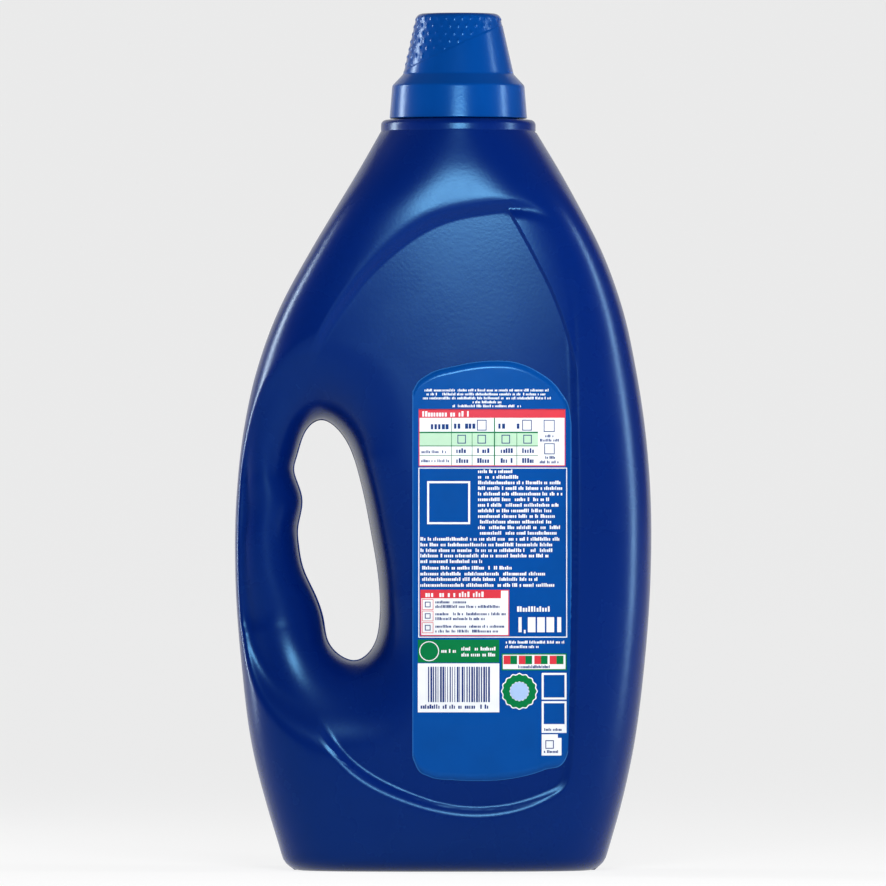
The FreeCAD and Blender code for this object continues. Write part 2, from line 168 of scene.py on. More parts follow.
def mesh_piece(name: str, points: Array, faces: Array, smooth: bool = True) -> bpy.types.Object:
    """Makes an object at the origin from points in millimetres.

    Args:
        name: Name of the piece.
        points: Points, shape (n, 3), in millimetres.
        faces: Corner numbers, shape (m, 4); a triangle repeats its last corner.
        smooth: Whether its faces shade smoothly.

    Returns:
        The object, with doubled points merged and flat slivers gone.
    """
    mesh = bpy.data.meshes.new(name)
    mesh.vertices.add(len(points))
    mesh.vertices.foreach_set("co", (points * MM).astype(np.float32).ravel())
    mesh.loops.add(faces.size)
    mesh.loops.foreach_set("vertex_index", faces.astype(np.int32).ravel())
    mesh.polygons.add(len(faces))
    mesh.polygons.foreach_set("loop_start", np.arange(0, faces.size, faces.shape[1], dtype=np.int32))
    mesh.update(calc_edges=True)
    mesh.validate()
    piece = bpy.data.objects.new(name, mesh)
    bpy.context.scene.collection.objects.link(piece)
    tidy_mesh(piece)
    mesh.polygons.foreach_set("use_smooth", np.full(len(mesh.polygons), smooth))
    return piece


def tidy_mesh(piece: bpy.types.Object) -> None:
    """Merges doubled points, drops slivers and turns all faces outwards.

    Args:
        piece: The piece, changed in place.
    """
    work = bmesh.new()
    work.from_mesh(piece.data)
    bmesh.ops.remove_doubles(work, verts=work.verts, dist=MERGE_REACH)
    bmesh.ops.dissolve_degenerate(work, edges=work.edges, dist=MERGE_REACH / 2)
    bmesh.ops.recalc_face_normals(work, faces=work.faces)
    work.to_mesh(piece.data)
    work.free()


def grid_faces(rows: int, columns: int, closed: bool) -> Array:
    """Numbers the quads of a grid of points stored row by row.

    Args:
        rows: Number of rows of points.
        columns: Number of points in a row.
        closed: Whether the last column meets the first.

    Returns:
        Corner numbers, shape (m, 4).
    """
    across = np.arange(columns if closed else columns - 1)
    down = np.arange(rows - 1)[:, None]
    right = (across + 1) % columns
    corners = [down * columns + across, down * columns + right,
               (down + 1) * columns + right, (down + 1) * columns + across]
    return np.stack(np.broadcast_arrays(*corners), axis=-1).reshape(-1, 4)


def revolved(name: str, profile: Array, axis_x: float, columns: int,
             bulge: Bulge | None = None) -> bpy.types.Object:
    """Turns a profile about an upright axis.

    A point of the profile at radius r and height z goes to (axis + r sin a, -r cos a, z) for each
    angle a of a full turn; an optional function moves the radius by an amount that depends on
    the angle, the radius and the height.

    Args:
        name: Name of the piece.
        profile: Closed or open outline, shape (n, 2), radius and height.
        axis_x: Place of the axis along X.
        columns: Points around.
        bulge: Function of angle, radius and height that gives the change of radius.

    Returns:
        The turned piece.
    """
    angle = np.linspace(0.0, 2 * math.pi, columns, endpoint=False)[None, :]
    radius = np.repeat(profile[:, :1], columns, axis=1)
    level = np.repeat(profile[:, 1:], columns, axis=1)
    if bulge is not None:
        radius = radius + bulge(angle, radius, level)
    points = np.stack([axis_x + radius * np.sin(angle), -radius * np.cos(angle), level], axis=-1)
    return mesh_piece(name, points.reshape(-1, 3), grid_faces(len(profile), columns, True))


def rounded_outline(corners: list[tuple[float, float, float]], step: float = 0.35,
                    closed: bool = True) -> Array:
    """Rounds the corners of an outline with arcs and divides its straight runs.

    At a corner with radius r the outline leaves its first run a tangent length before the
    corner, follows a quadratic curve through the corner's weight, and joins the second run
    the same length after it.

    Args:
        corners: Radius, height and rounding of each corner.
        step: Longest run between two points.
        closed: Whether the last corner joins the first.

    Returns:
        Points, shape (n, 2).
    """
    places = np.array([corner[:2] for corner in corners])
    count = len(corners)
    arc_points = 9
    most_of_run = 0.49
    points: list[Array] = []
    for index, (_, _, rounding) in enumerate(corners):
        here = places[index]
        before = places[index - 1]
        after = places[(index + 1) % count]
        end_of_line = not closed and index in (0, count - 1)
        if rounding == 0.0 or end_of_line:
            piece = here[None, :]
        else:
            first = (before - here) / np.linalg.norm(before - here)
            second = (after - here) / np.linalg.norm(after - here)
            half = math.acos(float(np.clip(first @ second, -1, 1))) / 2
            length = min(rounding / math.tan(half), most_of_run * np.linalg.norm(before - here),
                         most_of_run * np.linalg.norm(after - here))
            part = np.linspace(0.0, 1.0, arc_points)[:, None]
            start, finish = here + first * length, here + second * length
            pull = 2 * part * (1 - part) * math.sin(half)
            total = (1 - part) ** 2 + pull + part ** 2
            piece = ((1 - part) ** 2 * start + pull * here + part ** 2 * finish) / total
        points.append(piece)
    rough = np.concatenate(points + ([points[0][:1]] if closed else []))
    runs = np.linalg.norm(np.diff(rough, axis=0), axis=1)
    travelled = np.concatenate([[0.0], np.cumsum(runs)])
    extra = [np.linspace(low, high, max(2, int((high - low) / step) + 1))[:-1]
             for low, high in zip(travelled[:-1], travelled[1:]) if high > low]
    at = np.concatenate(extra + [travelled[-1:]])
    return np.stack([np.interp(at, travelled, rough[:, 0]), np.interp(at, travelled, rough[:, 1])], axis=1)


class Sock:
    """A shader value: arithmetic on it adds Math nodes."""

    def __init__(self, graph: "Graph", socket: bpy.types.NodeSocket) -> None:
        """Wraps a node's output socket."""
        self.graph = graph
        self.socket = socket

    def _math(self, operation: str, first: "Sock | float", second: "Sock | float") -> "Sock":
        """Adds one Math node of two inputs."""
        return self.graph.node("ShaderNodeMath", {"operation": operation}, {0: first, 1: second})

    def __add__(self, other: "Sock | float") -> "Sock":
        """This value plus another."""
        return self._math("ADD", self, other)

    def __radd__(self, other: float) -> "Sock":
        """A number plus this value."""
        return self._math("ADD", other, self)

    def __sub__(self, other: "Sock | float") -> "Sock":
        """This value less another."""
        return self._math("SUBTRACT", self, other)

    def __rsub__(self, other: float) -> "Sock":
        """A number less this value."""
        return self._math("SUBTRACT", other, self)

    def __mul__(self, other: "Sock | float") -> "Sock":
        """This value times another."""
        return self._math("MULTIPLY", self, other)

    def __rmul__(self, other: float) -> "Sock":
        """A number times this value."""
        return self._math("MULTIPLY", other, self)

    def eased(self, low: float, high: float) -> "Sock":
        """Gives 0 below low, 1 above high and a smooth rise between."""
        return self.graph.node("ShaderNodeMapRange", {"interpolation_type": "SMOOTHSTEP"},
                               {"Value": self, "From Min": low, "From Max": high})


class Graph:
    """The node tree of one material."""

    def __init__(self, name: str) -> None:
        """Starts a material with its own Principled shader."""
        self.material = bpy.data.materials.new(name)
        self.material.use_nodes = True
        self.tree = self.material.node_tree
        self.shader = next(node for node in self.tree.nodes if node.type == "BSDF_PRINCIPLED")

    def node(self, kind: str, settings: dict[str, object], inputs: dict[str | int, object],
             output: str | int = 0) -> Sock:
        """Adds a node.

        Args:
            kind: Blender's name of the node's type.
            settings: Properties of the node, set first.
            inputs: Values or links of its sockets.
            output: Name or number of the output that is wanted.

        Returns:
            The wanted output.
        """
        node = self.tree.nodes.new(kind)
        for key, value in settings.items():
            setattr(node, key, value)
        for key, value in inputs.items():
            self.feed(node.inputs[key], value)
        return Sock(self, node.outputs[output])

    def feed(self, socket: bpy.types.NodeSocket, value: object) -> None:
        """Links a socket to a value of the tree, or sets it to a plain one."""
        if isinstance(value, Sock):
            self.tree.links.new(value.socket, socket)
        else:
            socket.default_value = value

    def place(self) -> Sock:
        """The point's own place on the object, in metres."""
        return self.node("ShaderNodeTexCoord", {}, {}, "Object")

    def noise(self, scale: float, detail: float = 2.0) -> Sock:
        """Cloudy noise.

        Args:
            scale: Clouds to a metre.
            detail: Octaves of finer clouds.

        Returns:
            A value about 0.5.
        """
        return self.node("ShaderNodeTexNoise", {}, {"Vector": self.place(), "Scale": scale, "Detail": detail})

    def mix(self, factor: Sock, first: object, second: object) -> Sock:
        """Mixes two colours: the first where the factor is 0, the second where it is 1."""
        return self.node("ShaderNodeMix", {"data_type": "RGBA"},
                         {MIX_FACTOR: factor, MIX_FIRST: first, MIX_SECOND: second}, MIX_RESULT)

    def bump(self, height: Sock, distance: float) -> Sock:
        """Makes a normal from a height; the distance is the height of a value of 1, in metres."""
        return self.node("ShaderNodeBump", {}, {"Strength": 1.0, "Distance": distance, "Height": height})


@dataclass(frozen=True)
class Plastic:
    """A moulded plastic: its colour clouds a little and its skin has a fine grain."""

    name: str
    colour: tuple[float, float, float]
    deep: tuple[float, float, float]
    roughness: float = 0.3
    roughness_spread: float = 0.06
    grain: float = 900.0
    grain_height: float = 0.00002
    specular: float = 0.3
    sheen: tuple[float, float, float] = (1.0, 1.0, 1.0)

    def material(self) -> bpy.types.Material:
        """Builds the material: two depths of colour by slow noise, roughness and grain by fine noise."""
        graph = Graph(self.name)
        depth = graph.noise(18.0, 3.0).eased(0.3, 0.7)
        shader = graph.shader.inputs
        graph.feed(shader["Base Color"], graph.mix(depth, (*self.colour, 1.0), (*self.deep, 1.0)))
        low = self.roughness - self.roughness_spread
        graph.feed(shader["Roughness"], low + 2 * self.roughness_spread * graph.noise(60.0, 4.0))
        grain = graph.noise(self.grain, 2.0) * self.grain_height
        graph.feed(shader["Normal"], graph.bump(grain, 1.0))
        shader["Specular IOR Level"].default_value = self.specular
        shader["Specular Tint"].default_value = (*self.sheen, 1.0)
        return graph.material


@dataclass(frozen=True)
class Film:
    """A printed film: an even ink under a smooth gloss."""

    name: str
    colour: tuple[float, float, float]
    roughness: float = 0.22
    specular: float = 0.3
    sheen: tuple[float, float, float] = (0.22, 0.62, 1.0)

    def material(self) -> bpy.types.Material:
        """Builds the material: the ink varies by a few percent and the film has slow waves."""
        graph = Graph(self.name)
        shader = graph.shader.inputs
        darker = tuple(0.93 * part for part in self.colour)
        clouds = graph.noise(70.0, 3.0).eased(0.35, 0.65)
        graph.feed(shader["Base Color"], graph.mix(clouds, (*self.colour, 1.0), (*darker, 1.0)))
        graph.feed(shader["Roughness"], self.roughness - 0.03 + 0.06 * graph.noise(220.0, 2.0))
        graph.feed(shader["Normal"], graph.bump(graph.noise(55.0, 2.0), 0.00005))
        shader["Specular IOR Level"].default_value = self.specular
        shader["Specular Tint"].default_value = (*self.sheen, 1.0)
        return graph.material


def dress(piece: bpy.types.Object, material: bpy.types.Material, body: str,
          replaces: tuple[str, ...] = ()) -> bpy.types.Object:
    """Gives a piece its material, its body and the nodes that it stands for.

    Args:
        piece: The finished piece.
        material: Its material.
        body: The body that it rides on.
        replaces: Nodes that it is shown in place of.

    Returns:
        The same piece.
    """
    piece.data.materials.clear()
    piece.data.materials.append(material)
    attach(piece, body)
    if replaces:
        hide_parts(*replaces)
    LOG.info("%s: %d faces", piece.name, len(piece.data.polygons))
    return piece


@dataclass
class BlownBody:
    """The blown bottle: body, handle and raised floor, in millimetres.

    Its face is a height over the middle plane. Rays leave the finger opening at right angles to
    a line inside it; along each ray the height is the lower of the crown of the body and the
    wall of the opening, with a round blend between them.
    """

    width: float = 148.0
    depth: float = 61.6
    height: float = 262.7
    foot_round: float = 5.0
    foot_land: float = 7.6
    push_up: float = 2.4
    mouth_offset: float = 5.45
    handle_width: float = 21.2
    handle_depth: float = 29.0
    opening_width: float = 30.3
    opening_height: float = 85.3
    opening_level: float = 74.6
    panel_recess: float = 2.4
    panel_radius: float = 400.0
    around: int = 460
    blend: float = 3.2
    roll_rows: int = 24
    face_rows: int = 20
    edge_rows: int = 18
    side_rows: int = 30
    floor_rows: int = 14
    edge_half: float = 4.5
    panel_hollow: float = 1.4
    panel_rim: float = 2.2
    thinnest: float = 0.02
    above_all: float = 80.0
    liquid_inset: float = 3.2
    liquid_level: float = 217.0
    sections: Array = field(default_factory=lambda: np.array([
        (0.000, -0.755, 0.765, 0.86, 2.8), (0.030, -0.785, 0.797, 0.94, 2.9),
        (0.083, -0.842, 0.851, 0.98, 3.0), (0.164, -0.915, 0.915, 1.00, 3.0),
        (0.272, -0.966, 0.966, 1.00, 3.0), (0.400, -0.998, 0.998, 1.00, 3.0),
        (0.515, -0.990, 0.996, 1.00, 3.0), (0.600, -0.955, 0.970, 1.00, 3.0),
        (0.676, -0.895, 0.928, 1.00, 3.2), (0.757, -0.790, 0.865, 1.00, 3.5),
        (0.838, -0.636, 0.761, 1.00, 3.8), (0.892, -0.522, 0.665, 1.00, 3.6),
        (0.946, -0.407, 0.560, 0.97, 2.6), (1.000, -0.298, 0.445, 0.893, 2.0)]))
    opening: Array = field(default_factory=lambda: np.array([
        (0.327, 1.000), (0.538, 0.948), (0.667, 0.869), (0.749, 0.778), (0.830, 0.658),
        (0.900, 0.525), (0.959, 0.405), (0.994, 0.297), (1.000, 0.193), (0.959, 0.089),
        (0.842, 0.023), (0.690, 0.000), (0.515, 0.027), (0.386, 0.089), (0.339, 0.180),
        (0.234, 0.284), (0.105, 0.384), (0.053, 0.483), (0.047, 0.566), (0.094, 0.674),
        (0.000, 0.778), (0.035, 0.853), (0.129, 0.952)]))
    spine: Array = field(default_factory=lambda: np.array([(0.70, 0.20), (0.37, 0.83)]))
    wall_to_body: Array = field(default_factory=lambda: np.array([
        (0.0, 0.0), (0.5, 0.55), (1.8, 1.17), (4.5, 1.62), (8.5, 1.83), (14.0, 2.00), (22.0, 2.3)]))
    wall_above: Array = field(default_factory=lambda: np.array([
        (0.0, 0.0), (1.0, 0.45), (4.0, 0.93), (9.0, 1.28), (16.0, 1.59), (25.0, 1.86), (38.0, 2.3)]))
    wall_below: Array = field(default_factory=lambda: np.array([
        (0.0, 0.0), (1.1, 0.45), (4.2, 0.93), (9.5, 1.28), (17.0, 1.59), (26.0, 1.90), (38.0, 2.3)]))
    wall_handle: Array = field(default_factory=lambda: np.array([
        (0.0, 0.0), (0.055, 0.42), (0.22, 0.80), (0.50, 1.02), (0.80, 0.90), (1.03, 0.38), (1.6, 2.3)]))
    panel_left: float = -64.0
    panel_bottom: float = 22.5
    panel_width: float = 112.0
    panel_height: float = 212.3
    panel_edge: Array = field(default_factory=lambda: np.array([
        (0.692, 0.9935), (0.804, 1.000), (0.884, 0.990), (0.928, 0.976),
        (0.948, 0.955), (0.966, 0.920), (0.985, 0.830), (0.996, 0.680),
        (1.000, 0.460), (0.990, 0.200), (0.980, 0.080), (0.957, 0.036),
        (0.890, 0.018), (0.790, 0.004), (0.660, 0.000), (0.545, 0.009),
        (0.436, 0.028), (0.268, 0.075), (0.125, 0.177), (0.036, 0.318),
        (0.000, 0.450), (0.020, 0.600), (0.094, 0.709), (0.182, 0.796),
        (0.263, 0.853), (0.356, 0.906), (0.483, 0.956), (0.590, 0.982)]))

    def section_at(self, level: Array) -> tuple[Array, Array, Array, Array]:
        """Gives the body's section at a level.

        Args:
            level: Heights above the foot.

        Returns:
            Centre, half width, half depth and squareness. Near the foot both halves shrink
            along a quarter circle, which rounds the foot.
        """
        row = spline_through(self.sections[:, 0], self.sections[:, 1:], np.clip(level / self.height, 0.0, 1.0))
        rise = np.clip((self.foot_round - level) / self.foot_round, 0.0, 1.0)
        inset = self.foot_round * (1.0 - np.sqrt(1.0 - rise ** 2))
        centre = (row[..., 0] + row[..., 1]) * self.width / 4
        half_width = (row[..., 1] - row[..., 0]) * self.width / 4 - inset
        return centre, half_width, row[..., 2] * self.depth / 2 - inset, row[..., 3]

    def crown(self, x: Array, z: Array) -> Array:
        """Height of the plain body: a squared ellipse, (1 - across to the n) to the 1/n of its half depth."""
        centre, half_width, half_depth, square = self.section_at(z)
        across = np.clip(np.abs(x - centre) / half_width, 0.0, 1.0)
        return half_depth * (1.0 - across ** square) ** (1.0 / square)

    def inside(self, x: Array, z: Array) -> Array:
        """Whether a point of the middle plane lies within the side view of the body."""
        centre, half_width, _, _ = self.section_at(z)
        return (np.abs(x - centre) < half_width) & (z > 0.0) & (z < self.height)

    def to_plane(self, shares: Array) -> Array:
        """Turns shares of the opening's own box into X and Z."""
        left = -self.width / 2 + self.handle_width
        scale = np.array([self.opening_width, self.opening_height])
        return np.array([left, self.opening_level]) + shares * scale

    def wall_poles(self) -> tuple[Array, Array, Array]:
        """Works out the opening's wall at each point of its outline.

        The wall is given in four directions, and between two of them it eases by half a cosine.

        Returns:
            The outline's poles, the outward directions, and for each pole the rows of distance
            and height of the wall.
        """
        edge = self.to_plane(poles_meeting(self.opening))
        low, high = self.to_plane(self.spine)
        run = high - low
        part = np.clip((edge - low) @ run / (run @ run), 0.0, 1.0)[:, None]
        outward = edge - (low + run * part)
        outward /= np.linalg.norm(outward, axis=1)[:, None]
        centre, half_width, _, _ = self.section_at(edge[:, 1])
        room = edge[:, 0] - (centre - half_width)
        handle = np.repeat(self.wall_handle[None], len(edge), axis=0)
        handle[..., 0] *= room[:, None]
        fixed = [np.repeat(wall[None], len(edge), axis=0)
                 for wall in (self.wall_to_body, self.wall_above, self.wall_below)]
        walls = np.stack([fixed[0], fixed[1], handle, fixed[2]])
        quarters = np.degrees(np.arctan2(outward[:, 1], outward[:, 0])) % 360 / 90
        first = quarters.astype(int) % 4
        ease = ((1 - np.cos(math.pi * (quarters - np.floor(quarters)))) / 2)[:, None, None]
        index = np.arange(len(edge))
        rows = walls[first, index] * (1 - ease) + walls[(first + 1) % 4, index] * ease
        rows[..., 1] *= self.handle_depth / 2
        return edge, outward, rows

    def rays(self) -> tuple[Array, Array, Array, Array]:
        """Places the rays evenly along the opening's edge and the outer edge together.

        Returns:
            Starts, directions and the dense tables of distance and height of the wall on each ray.
        """
        edge, outward, rows = self.wall_poles()
        count = len(edge)
        dense = np.linspace(0.0, count, 4000, endpoint=False)
        start_share = 0.3
        start = closed_spline(edge, dense)
        reach = self.reach(start, self.directions(start), self.inside)
        rim = start + self.directions(start) * reach[:, None]
        steps = [np.linalg.norm(np.roll(line, -1, axis=0) - line, axis=1) for line in (start, rim)]
        mixed = start_share * steps[0] / steps[0].sum() + (1 - start_share) * steps[1] / steps[1].sum()
        travelled = np.concatenate([[0.0], np.cumsum(mixed)])
        at = np.interp(np.linspace(0.0, 1.0, self.around, endpoint=False), travelled,
                       np.append(dense, count))
        start = closed_spline(edge, at)
        mirrored = np.concatenate([rows[:, :0:-1] * [1, -1], rows], axis=1)
        poles = closed_spline(mirrored, at)
        clamped = self.across_wall(poles)
        return start, self.directions(start), clamped[..., 0], clamped[..., 1]

    def directions(self, start: Array) -> Array:
        """Outward directions of points of the opening's edge from the line inside the opening."""
        low, high = self.to_plane(self.spine)
        run = high - low
        part = np.clip((start - low) @ run / (run @ run), 0.0, 1.0)[:, None]
        outward = start - (low + run * part)
        return outward / np.linalg.norm(outward, axis=1)[:, None]

    def across_wall(self, poles: Array) -> Array:
        """Follows the wall's clamped cubic B-spline from the middle plane to its end on each ray.

        Each degree's bells are the weighted sum of two neighbouring bells one degree lower.
        """
        spans = poles.shape[1] - 3
        knots = np.concatenate([[0.0] * 3, np.arange(spans + 1.0), [spans] * 3])
        at = np.linspace(spans / 2, spans - 1e-6, 240)[:, None]
        bells = ((knots[:-1] <= at) & (at < knots[1:])).astype(float)
        for degree in (1, 2, 3):
            rise = np.maximum(knots[degree:-1] - knots[:-degree - 1], 1e-9)
            fall = np.maximum(knots[degree + 1:] - knots[1:-degree], 1e-9)
            bells = ((at - knots[:-degree - 1]) / rise * bells[:, :-1]
                     + (knots[degree + 1:] - at) / fall * bells[:, 1:])
        return np.einsum("ab,rbk->rak", bells, poles)

    def reach(self, start: Array, outward: Array, within: Region) -> Array:
        """Finds how far each ray stays within a region, by halving an interval again and again.

        Args:
            start: First point of each ray.
            outward: Direction of each ray.
            within: Says whether a point lies in the region.

        Returns:
            The distance along each ray.
        """
        low = np.zeros(len(start))
        high = np.full(len(start), 2 * self.height)
        for _ in range(40):
            middle = (low + high) / 2
            point = start + outward * middle[:, None]
            held = within(point[:, 0], point[:, 1])
            low = np.where(held, middle, low)
            high = np.where(held, high, middle)
        return low

    def panel_outline(self, count: int) -> Array:
        """Points along the closed outline of the label panel."""
        box = np.array([self.panel_width, self.panel_height])
        edge = np.array([self.panel_left, self.panel_bottom]) + self.panel_edge * box
        return closed_spline(poles_meeting(edge), np.linspace(0, len(edge), count))

    def panel_reach(self, start: Array, outward: Array) -> Array:
        """How far each ray runs to the outline of the label panel: its first crossing with it."""
        outline = self.panel_outline(1500)
        first, second = outline[None, :-1], outline[None, 1:]
        run = second - first
        gap = first - start[:, None]
        turn = outward[:, None, 0] * run[..., 1] - outward[:, None, 1] * run[..., 0]
        turn = np.where(np.abs(turn) < 1e-12, 1e-12, turn)
        along = (gap[..., 0] * run[..., 1] - gap[..., 1] * run[..., 0]) / turn
        part = (gap[..., 0] * outward[:, None, 1] - gap[..., 1] * outward[:, None, 0]) / turn
        crossing = (part >= 0) & (part <= 1) & (along > 0)
        return np.where(crossing, along, math.inf).min(axis=1)

    def panel_depth(self, x: Array, z: Array, distance: Array, edge: Array) -> Array:
        """How far a point lies inside the panel's outline, below zero outside it.

        Args:
            x: X of the points on the rays.
            z: Z of the points.
            distance: Distance of each point along its ray.
            edge: Distance of the outline along each ray.

        Returns:
            The least distance to the outline, with its sign.
        """
        outline = self.panel_outline(700).astype(np.float32)
        batches = 24
        shape = x.shape
        places = np.stack([x.ravel(), z.ravel()], axis=1).astype(np.float32)
        nearest = np.empty(len(places), dtype=np.float32)
        for part in np.array_split(np.arange(len(places)), batches):
            gaps = places[part, None, :] - outline[None]
            nearest[part] = np.sqrt((gaps ** 2).sum(axis=2)).min(axis=1)
        return np.where(distance < edge, 1.0, -1.0) * nearest.reshape(shape).astype(float)

    def distances(self, edge: Array, rim: Array) -> Array:
        """Spaces the rows along each ray: close at the opening's edge, at the panel's edge and at the rim."""
        roll_end = np.minimum(9.0, 0.3 * edge)[:, None]
        half = np.minimum(self.edge_half, 0.2 * edge)[:, None]
        edge, rim = edge[:, None], rim[:, None]
        turn = np.linspace(0.0, 1.0, self.roll_rows)[None]
        roll = roll_end * (1.0 - np.cos(turn * math.pi / 2))
        face = np.linspace(0.0, 1.0, self.face_rows + 1)[None, 1:]
        band = np.linspace(-1.0, 1.0, self.edge_rows + 1)[None, 1:]
        side = np.linspace(0.0, 1.0, self.side_rows + 1)[None, 1:]
        inner = roll_end + (edge - half - roll_end) * face
        step = edge + half * band
        outer = edge + half + (rim - edge - half) * (1.0 - (1.0 - side) ** 2.4)
        return np.concatenate([roll, inner, step, outer], axis=1)

    def height_over_plane(self) -> tuple[Array, Array, Array]:
        """Works out the face over the middle plane on the grid of rays and rows.

        Returns:
            X, Z and height, each of shape (rays, rows).
        """
        start, outward, wall_reach, wall_height = self.rays()
        rim = self.reach(start, outward, self.inside)
        edge = np.minimum(self.panel_reach(start, outward), 0.8 * rim)
        distance = self.distances(edge, rim)
        x = start[:, :1] + outward[:, :1] * distance
        z = start[:, 1:] + outward[:, 1:] * distance
        crown = self.crown(x, z)
        slope = self.depth / 2 - self.panel_recess - self.panel_depth(x, z, distance, edge[:, None])
        recess = -smooth_min(-self.panel_face(x), -slope, np.array(self.panel_hollow))
        crown = smooth_min(crown, recess, np.clip(crown, self.thinnest, self.panel_rim))
        wall = self.wall_over(distance, wall_reach, wall_height)
        blend = np.clip(1.2 * np.minimum(crown, wall), self.thinnest, self.blend)
        height = smooth_min(crown, wall, blend)
        height[:, 0] = 0.0
        return x, z, np.maximum(height, 0.0)

    def panel_face(self, x: Array) -> Array:
        """Height of the bent label panel: its middle less across squared over twice its radius."""
        return self.depth / 2 - self.panel_recess - (x - self.mouth_offset) ** 2 / (2 * self.panel_radius)

    def wall_over(self, distance: Array, reach: Array, height: Array) -> Array:
        """Reads the wall's height at each distance from its table, and stays high past its end."""
        above = np.clip((reach[:, None, :] <= distance[:, :, None]).sum(axis=2), 1, reach.shape[1] - 1)
        low_reach, high_reach = (np.take_along_axis(reach, above - step, axis=1) for step in (1, 0))
        low, high = (np.take_along_axis(height, above - step, axis=1) for step in (1, 0))
        part = np.clip((distance - low_reach) / np.maximum(high_reach - low_reach, 1e-9), 0.0, 1.0)
        wall = low + (high - low) * part
        return np.where(distance > reach[:, -1:], self.above_all, wall)

    def floor_strip(self, x: Array, z: Array, height: Array) -> tuple[Array, Array, Array]:
        """Closes the foot and the top: from the last row straight to the middle plane.

        On the foot the floor rises inside the standing ring by the push-up, eased over a few
        millimetres of the distance from the ring.
        """
        part = np.linspace(0.0, 1.0, self.floor_rows + 1)[None, 1:]
        last = height[:, -1:]
        strip_height = last * (1.0 - part)
        strip_x = np.repeat(x[:, -1:], self.floor_rows, axis=1)
        level = z[:, -1:]
        centre, half_width, half_depth, square = self.section_at(np.zeros_like(strip_x))
        ring = (np.abs(strip_x - centre) / half_width) ** square + (strip_height / half_depth) ** square
        from_ring = (1.0 - ring ** (1.0 / square)) * half_depth
        ease_start, ease_run, foot_level = 5.0, 6.0, 1.0
        raised = self.push_up * smooth_step((from_ring - self.foot_land + ease_start) / ease_run)
        strip_z = np.where(level < foot_level, raised, level)
        return strip_x, strip_z, strip_height

    def liquid(self) -> bpy.types.Object:
        """Makes the filling: the same form one inset further in on every side, level at the top."""
        inset = self.liquid_inset
        narrower = np.array([0.0, 1.0, -1.0, 0.0, 0.0]) * 2 * inset / self.width
        inner = replace(
            self, depth=self.depth - 2 * inset, handle_depth=self.handle_depth - 2 * inset,
            handle_width=self.handle_width - inset, opening_width=self.opening_width + 2 * inset,
            opening_height=self.opening_height + 2 * inset, opening_level=self.opening_level - inset,
            sections=self.sections + narrower, push_up=self.push_up + inset,
            around=220, roll_rows=8, face_rows=10, edge_rows=8, side_rows=14, floor_rows=6)
        return inner.build("liquid", inset, self.liquid_level)

    def build(self, name: str = "blown_body", low: float = 0.0, high: float = 1e3) -> bpy.types.Object:
        """Makes the closed form from a front and a back half that meet in the middle plane.

        Args:
            name: Name of the piece.
            low: Level below which the form is cut flat.
            high: Level above which it is cut flat.

        Returns:
            The closed piece.
        """
        x, z, height = self.height_over_plane()
        strip = self.floor_strip(x, z, height)
        x, z, height = (np.concatenate(pair, axis=1) for pair in zip((x, z, height), strip))
        halves = [np.stack([x, side.value * height, z], axis=-1) for side in Side]
        rays, rows = x.shape
        faces = grid_faces(rows, rays, True)
        points = np.concatenate([half.transpose(1, 0, 2).reshape(-1, 3) for half in halves])
        points[:, 2] = np.clip(points[:, 2], low, high)
        return mesh_piece(name, points, np.concatenate([faces, faces[:, ::-1] + rays * rows]))


@dataclass
class Neck:
    """Collar and neck of the bottle with its thread, in millimetres."""

    foot: float = 262.7
    collar_radius: float = 27.5
    collar_height: float = 4.0
    collar_round: float = 3.0
    radius: float = 21.0
    height: float = 9.0
    wall: float = 1.6
    axis: float = 5.45
    thread_turns: float = 1.25
    thread_pitch: float = 3.6
    thread_proud: float = 0.8
    thread_half: float = 0.9
    thread_sunk: float = 0.15
    thread_start: float = 2.2
    thread_fullness: float = 0.7

    def build(self) -> bpy.types.Object:
        """Turns the collar, the neck and its bore about the neck's axis."""
        flat = self.foot + self.collar_height
        rim = flat + self.height
        bore = self.radius - self.wall
        profile = rounded_outline([
            (self.collar_radius - 0.9, self.foot - 1.2, 0.0), (self.collar_radius, self.foot + 0.1, 0.7),
            (self.collar_radius, flat, self.collar_round), (self.radius, flat, 0.6),
            (self.radius, rim, 0.5), (bore, rim, 0.5), (bore, self.foot - 1.2, 0.0)])
        return revolved("neck_and_collar", profile, self.axis, 160)

    def thread(self) -> bpy.types.Object:
        """Carries a rounded ridge along a helix: the height rises one pitch a turn.

        The ridge fades in and out at its ends.
        """
        turns = np.linspace(0.0, 1.0, 181)[:, None]
        angle = turns * self.thread_turns * 2 * math.pi
        across = np.linspace(-1.0, 1.0, 11)[None, :]
        fade = np.sqrt(smooth_step(turns * 12) * smooth_step((1 - turns) * 12))
        ridge = fade * np.cos(across * math.pi / 2) ** self.thread_fullness
        radius = self.radius - self.thread_sunk + (self.thread_proud + self.thread_sunk) * ridge
        base = self.foot + self.collar_height + self.thread_start
        level = base + turns * self.thread_turns * self.thread_pitch + across * self.thread_half
        points = np.stack([self.axis + radius * np.sin(angle), -radius * np.cos(angle),
                           level + 0.0 * angle], axis=-1)
        return mesh_piece("neck_thread", points.reshape(-1, 3), grid_faces(181, 11, False))


